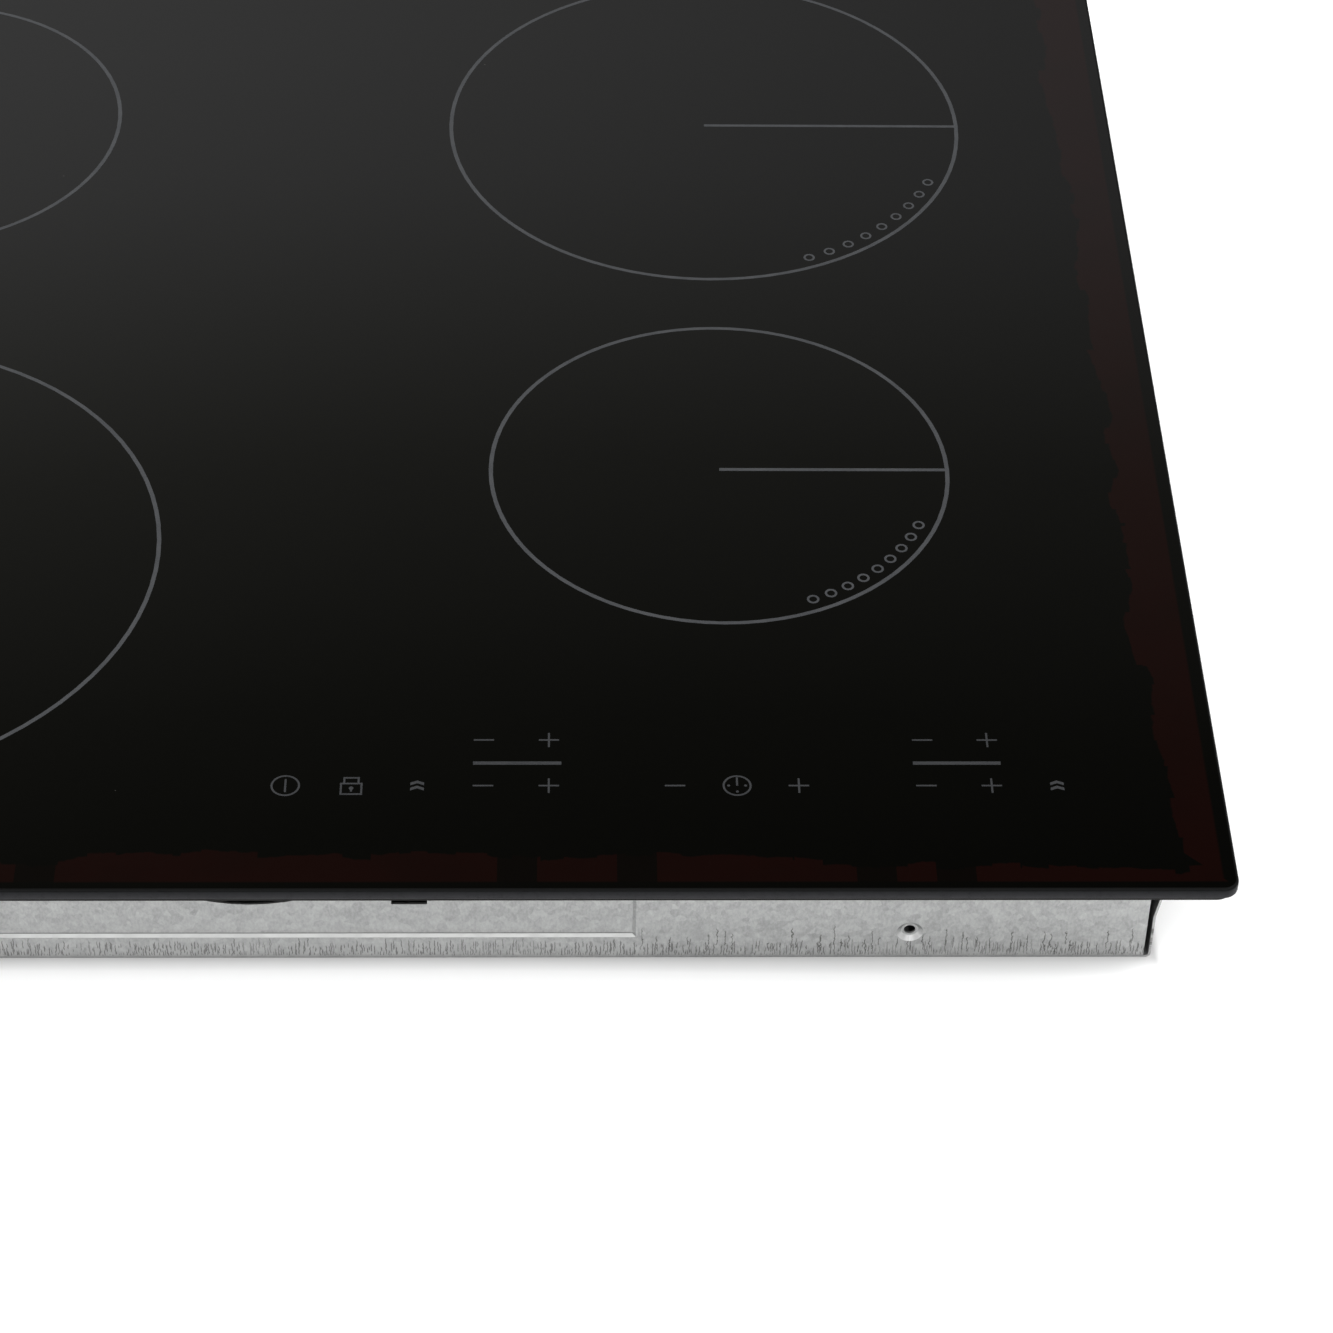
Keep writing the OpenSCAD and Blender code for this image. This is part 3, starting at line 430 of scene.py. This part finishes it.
def litz():
    m, g, b = material("litz_copper", 0.34, 0.75, 0.5)
    p = g.place()
    uv = g.n.new("ShaderNodeTexCoord").outputs["UV"]
    w = g.n.new("ShaderNodeTexWave")
    w.wave_type = "BANDS"
    w.bands_direction = "DIAGONAL"
    g.put(w.inputs["Vector"], uv)
    w.inputs["Scale"].default_value = 1.0
    w.inputs["Distortion"].default_value = 0.6
    s = w.outputs["Fac"]
    c = g.mix(s, (0.20, 0.065, 0.018), (0.60, 0.25, 0.085))
    c = g.mix(g.span(g.noise(p, 300.0, 3.0), 0.35, 0.7, 0.0, 0.4), c, (0.34, 0.12, 0.03))
    g.put(b.inputs["Base Color"], c)
    g.put(b.inputs["Roughness"], g.span(s, 0.0, 1.0, 0.45, 0.28))
    g.put(b.inputs["Normal"], g.bump(s, 0.00018, 0.9))
    return m


def mica():
    m, g, b = material("mica", 0.38, 0.0, 0.5)
    p = g.place()
    flakes = g.xyz(g.cells(p, 320.0, "Color"))[0]
    speckle = g.add(g.mul(flakes, 0.5), g.mul(g.noise(p, 40.0, 4.0), 0.5))
    c = g.mix(speckle, (0.36, 0.29, 0.18), (0.62, 0.54, 0.38))
    g.put(b.inputs["Base Color"], c)
    g.put(b.inputs["Roughness"], g.span(flakes, 0.0, 1.0, 0.25, 0.5))
    g.put(b.inputs["Normal"], g.bump(flakes, 0.00003, 0.5))
    return m


MAT = {
    "glass_face": glass_face(),
    "glass_edge": glass_edge(),
    "grey_enamel": enamel("grey_enamel", 1.0),
    "thin_enamel": enamel("thin_enamel", 0.62),
    "galvanised_steel": galvanised("galvanised_steel", True),
    "frame_steel": galvanised("frame_steel", False),
    "black_foam": plain("black_foam", (0.012, 0.012, 0.012), 0.9, 0.0, 1400.0, 0.0003, 0.3, 0.2),
    "black_silicone": plain("black_silicone", (0.015, 0.015, 0.015), 0.4, 0.0, 200.0, 0.0001, 0.2),
    "zinc_steel": plain("zinc_steel", (0.5, 0.5, 0.47), 0.28, 1.0, 1100.0, 0.00002, 0.12),
    "coil_aluminium": plain("coil_aluminium", (0.66, 0.67, 0.68), 0.32, 1.0, 500.0, 0.00003, 0.06,
                            streak=(1, 14, 1)),
    "sink_aluminium": plain("sink_aluminium", (0.6, 0.61, 0.62), 0.38, 1.0, 700.0, 0.00004, 0.08,
                            streak=(14, 1, 14)),
    "white_nylon": plain("white_nylon", (0.72, 0.71, 0.66), 0.45, 0.0, 500.0, 0.00004, 0.05),
    "ivory_polymer": plain("ivory_polymer", (0.62, 0.58, 0.47), 0.55, 0.0, 800.0, 0.00008, 0.08),
    "litz_copper": litz(),
    "lead_sleeve": plain("lead_sleeve", (0.62, 0.6, 0.52), 0.7, 0.0, 1800.0, 0.00025, 0.15, 0.3),
    "ferrite": plain("ferrite", (0.035, 0.035, 0.038), 0.5, 0.2, 1500.0, 0.00012, 0.3),
    "mica": mica(),
    "spring_steel": plain("spring_steel", (0.55, 0.55, 0.54), 0.22, 1.0, 900.0, 0.00002, 0.1),
    "sensor_ceramic": plain("sensor_ceramic", (0.72, 0.7, 0.64), 0.4, 0.0, 900.0, 0.00005, 0.05),
    "circuit_board": board_green(),
    "black_epoxy": plain("black_epoxy", (0.018, 0.018, 0.018), 0.45, 0.0, 1600.0, 0.00008, 0.3),
    "film_capacitor": plain("film_capacitor", (0.52, 0.36, 0.04), 0.35, 0.0, 600.0, 0.00004, 0.08),
    "filter_mix": plain("filter_mix", (0.05, 0.055, 0.07), 0.4, 0.0, 700.0, 0.0001, 0.2),
    "black_plastic": plain("black_plastic", (0.02, 0.02, 0.02), 0.5, 0.0, 900.0, 0.00015, 0.2),
    "fan_plastic": plain("fan_plastic", (0.03, 0.03, 0.033), 0.42, 0.0, 900.0, 0.0001, 0.2),
    "motor_copper": plain("motor_copper", (0.45, 0.18, 0.06), 0.35, 0.9, 700.0, 0.0002, 0.25, 0.5, (1, 1, 6)),
    "grey_plastic": plain("grey_plastic", (0.42, 0.42, 0.4), 0.55, 0.0, 900.0, 0.00015, 0.06),
    "white_plastic": plain("white_plastic", (0.7, 0.7, 0.66), 0.42, 0.0, 800.0, 0.00008, 0.05),
    "terminal_brass": plain("terminal_brass", (0.6, 0.46, 0.2), 0.3, 1.0, 900.0, 0.00003, 0.12),
    "black_rubber": plain("black_rubber", (0.015, 0.015, 0.015), 0.65, 0.0, 1000.0, 0.0001, 0.25, 0.3),
    "carrier_plastic": plain("carrier_plastic", (0.045, 0.045, 0.047), 0.55, 0.0, 900.0, 0.00015, 0.15),
    "display_plastic": plain("display_plastic", (0.06, 0.008, 0.008), 0.12, 0.0, 500.0, 0.00001, 0.1, 0.5),
}

SLOT = {s["node"]: s["material_slot"] for s in frame["record"]["subparts"]}
SLOT["printed_key_symbols"] = "thin_enamel"
for name, obj in NODES.items():
    mats = obj.data.materials
    m = MAT["glass_face"] if SLOT[name] == "black_glass" else MAT[SLOT[name]]
    if len(mats) == 0:
        mats.append(m)
    for i in range(len(mats)):
        mats[i] = m


# ---------- mesh helpers ----------
def add_mesh(name, verts, faces, mats, smooth=True, indices=None, uvs=None):
    me = bpy.data.meshes.new(name)
    me.from_pydata(verts, [], faces)
    for m in mats:
        me.materials.append(m)
    if indices:
        me.polygons.foreach_set("material_index", indices)
    if smooth:
        me.polygons.foreach_set("use_smooth", [True] * len(faces))
    if uvs:
        layer = me.uv_layers.new(name="UVMap")
        for loop in me.loops:
            layer.data[loop.index].uv = uvs[loop.vertex_index]
    me.update()
    o = bpy.data.objects.new(name, me)
    bpy.context.scene.collection.objects.link(o)
    return o


def tube(name, path, r, mat, sides):
    """A round wire along a path, with UVs: U runs along the wire, V round it."""
    pts = [Vector(p) for p in path]
    verts, faces, uvs = [], [], []
    length = 0.0
    side = None
    for i, p in enumerate(pts):
        t = (pts[min(i + 1, len(pts) - 1)] - pts[max(i - 1, 0)]).normalized()
        if side is None:
            side = t.orthogonal().normalized()
        side = (side - side.dot(t) * t).normalized()
        other = t.cross(side)
        if i:
            length += (p - pts[i - 1]).length
        for k in range(sides):
            a = 2 * math.pi * k / sides
            verts.append(p + r * (math.cos(a) * side + math.sin(a) * other))
            uvs.append((length / (2 * math.pi * r) * 2.0, k / sides * 2.0))
    for i in range(len(pts) - 1):
        for k in range(sides):
            a, b = i * sides + k, i * sides + (k + 1) % sides
            faces.append((a, b, b + sides, a + sides))
    faces.append(tuple(range(sides))[::-1])
    faces.append(tuple((len(pts) - 1) * sides + k for k in range(sides)))
    return add_mesh(name, verts, faces, [mat], True, None, uvs)


def outline(w, d, r, inset, n=14):
    """Corner-rounded rectangle in plan, moved inwards by inset."""
    pts = []
    rr = max(r - inset, 0.0002)
    for cx, cy, a0 in ((1, 1, 0), (-1, 1, 90), (-1, -1, 180), (1, -1, 270)):
        ox, oy = cx * (w / 2 - r), cy * (d / 2 - r)
        for k in range(n + 1):
            a = math.radians(a0 + 90 * k / n)
            pts.append((ox + rr * math.cos(a), oy + rr * math.sin(a)))
    return pts


# ---------- glass: polished faces, ground and rounded edge ----------
def build_glass():
    lo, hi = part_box("glass_top")
    w, d = hi[0] - lo[0], hi[1] - lo[1]
    z0, z1 = lo[2], hi[2]
    top_round, low_round, corner = 0.9 * MM, 0.5 * MM, 5 * MM
    prof = []
    for k in range(7):
        a = math.radians(90 * k / 6)
        prof.append((top_round * (1 - math.sin(a)), z1 - top_round * (1 - math.cos(a))))
    for k in range(5):
        a = math.radians(90 * k / 4)
        prof.append((low_round * (1 - math.cos(a)), z0 + low_round * (1 - math.sin(a))))
    verts, faces, idx = [], [], []
    for inset, z in prof:
        pts = outline(w, d, corner, inset)
        ring = len(pts)
        verts += [(x, y, z) for x, y in pts]
    for i in range(len(prof) - 1):
        for k in range(ring):
            a, b = i * ring + k, i * ring + (k + 1) % ring
            faces.append((a, a + ring, b + ring, b))
            idx.append(1)
    faces.append(tuple(range(ring)))
    idx.append(0)
    faces.append(tuple((len(prof) - 1) * ring + k for k in range(ring))[::-1])
    idx.append(0)
    o = add_mesh("glass_plate", verts, faces, [MAT["glass_face"], MAT["glass_edge"]], True, idx)
    for p in o.data.polygons[-2:]:
        p.use_smooth = False
    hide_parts("glass_top")
    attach(o, "hob")


build_glass()


# ---------- windings: one spiral of stranded wire each ----------
def build_windings():
    for c in ("fl", "fr", "rl", "rr"):
        lo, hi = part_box("coil_winding_" + c)
        cx, cy, cz = ((lo[i] + hi[i]) / 2 for i in range(3))
        r = 1.87 * MM
        pitch = 3.9 * MM
        r0 = 22 * MM
        r1 = (hi[0] - lo[0]) / 2 - 1.9 * MM
        n = round((r1 - r0) / pitch)
        steps = 72
        path = []
        for k in range(int(n * steps) + 1):
            a = 2 * math.pi * k / steps
            rad = r0 + (r1 - r0) * k / (n * steps)
            path.append((cx + rad * math.cos(a), cy + rad * math.sin(a), cz))
        o = tube("litz_spiral_" + c, path, r, MAT["litz_copper"], 10)
        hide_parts("coil_winding_" + c)
        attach(o, "hob")


build_windings()


# ---------- sensor springs: real helices ---------------------------------------
def build_springs():
    for c in ("fl", "fr", "rl", "rr"):
        lo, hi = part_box("sensor_spring_" + c)
        cx, cy = (lo[0] + hi[0]) / 2, (lo[1] + hi[1]) / 2
        wire = 0.5 * MM
        rad = (hi[0] - lo[0]) / 2 - 0.55 * MM
        turns, steps = 4.4, 40
        path = []
        total = int(turns * steps)
        for k in range(total + 1):
            t = k / total
            a = 2 * math.pi * turns * t
            rise = min(max((t - 0.1) / 0.8, 0.0), 1.0)
            z = lo[2] + wire + (hi[2] - lo[2] - 2 * wire) * rise
            path.append((cx + rad * math.cos(a), cy + rad * math.sin(a), z))
        o = tube("helix_" + c, path, wire, MAT["spring_steel"], 8)
        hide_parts("sensor_spring_" + c)
        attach(o, "hob")
        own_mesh(o)


build_springs()


# ---------- floor, light ----------
def build_stage():
    bpy.ops.mesh.primitive_plane_add(size=12, location=(0, 0, -0.0002))
    floor = bpy.context.active_object
    floor.name = "floor"
    m, g, b = material("floor_white", 0.9, 0.0, 0.1)
    p = g.place()
    x, y, z = g.xyz(p)
    lo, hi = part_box("bottom_tray")
    # the contact shade in front of the tray: away is the distance from it, faster at its ends
    dy = g.max(g.sub(lo[1], y), 0.0)
    dx = g.max(g.mul(g.sub(g.abs(x), hi[0]), 2.2), 0.0)
    away = g.math("POWER", g.add(g.mul(dx, dx), g.mul(dy, dy)), 0.5)
    reach = g.mul(g.span(x, 0.05, 0.24, 0.021, 0.033), g.span(x, 0.262, 0.276, 1.0, 0.5))
    painted_shade = g.steps(g.math("DIVIDE", away, reach), [(pos, (v, v, v)) for pos, v in (
        (0.0, 0.56), (0.14, 0.735), (0.24, 0.86), (0.36, 0.90), (0.6, 0.92), (1.0, 0.93))])
    g.put(b.inputs["Base Color"], painted_shade)
    floor.data.materials.append(m)

    world = bpy.data.worlds.new("studio")
    bpy.context.scene.world = world
    world.use_nodes = True
    g = Graph(world.node_tree)
    d = g.n.new("ShaderNodeTexCoord").outputs["Generated"]
    x, y, z = g.xyz(d)
    # behind the object a dark wall, brighter towards the horizon and a little warm where it is dark
    back = g.steps(z, [(pos, (v, v, v * (1 - 0.16 * max(0.0, 1 - v / 0.4)))) for pos, v in (
        (0.0, 0.38), (0.56, 0.42), (0.585, 0.39), (0.612, 0.29), (0.640, 0.175), (0.687, 0.078), (0.713, 0.05),
        (0.80, 0.05), (0.93, 2.0))])
    # elsewhere a ring of soft light, dark low down and overhead
    ring = g.steps(z, [(pos, (v, v, v)) for pos, v in (
        (0.0, 0.28), (0.43, 0.28), (0.58, 3.4), (0.90, 3.9), (0.96, 0.7), (1.0, 0.35))])
    patch = g.span(y, 0.38, 0.55)
    dim = g.n.new("ShaderNodeVectorMath")
    dim.operation = "SCALE"
    g.put(dim.inputs[0], back)
    g.put(dim.inputs["Scale"], g.span(x, -0.14, 0.16, 1.18, 0.62, False))
    c = g.mix(patch, ring, dim.outputs[0])
    # the camera itself sees plain white behind the floor
    c = g.mix(g.n.new("ShaderNodeLightPath").outputs["Is Camera Ray"], c, (1.0, 1.0, 1.0))
    bg = g.n["Background"]
    g.put(bg.inputs[0], c)
    bg.inputs[1].default_value = 1.0


build_stage()

scene = bpy.context.scene
scene.view_settings.view_transform = "Standard"
scene.view_settings.look = "None"
scene.view_settings.exposure = 0.0
scene.view_settings.gamma = 1.0
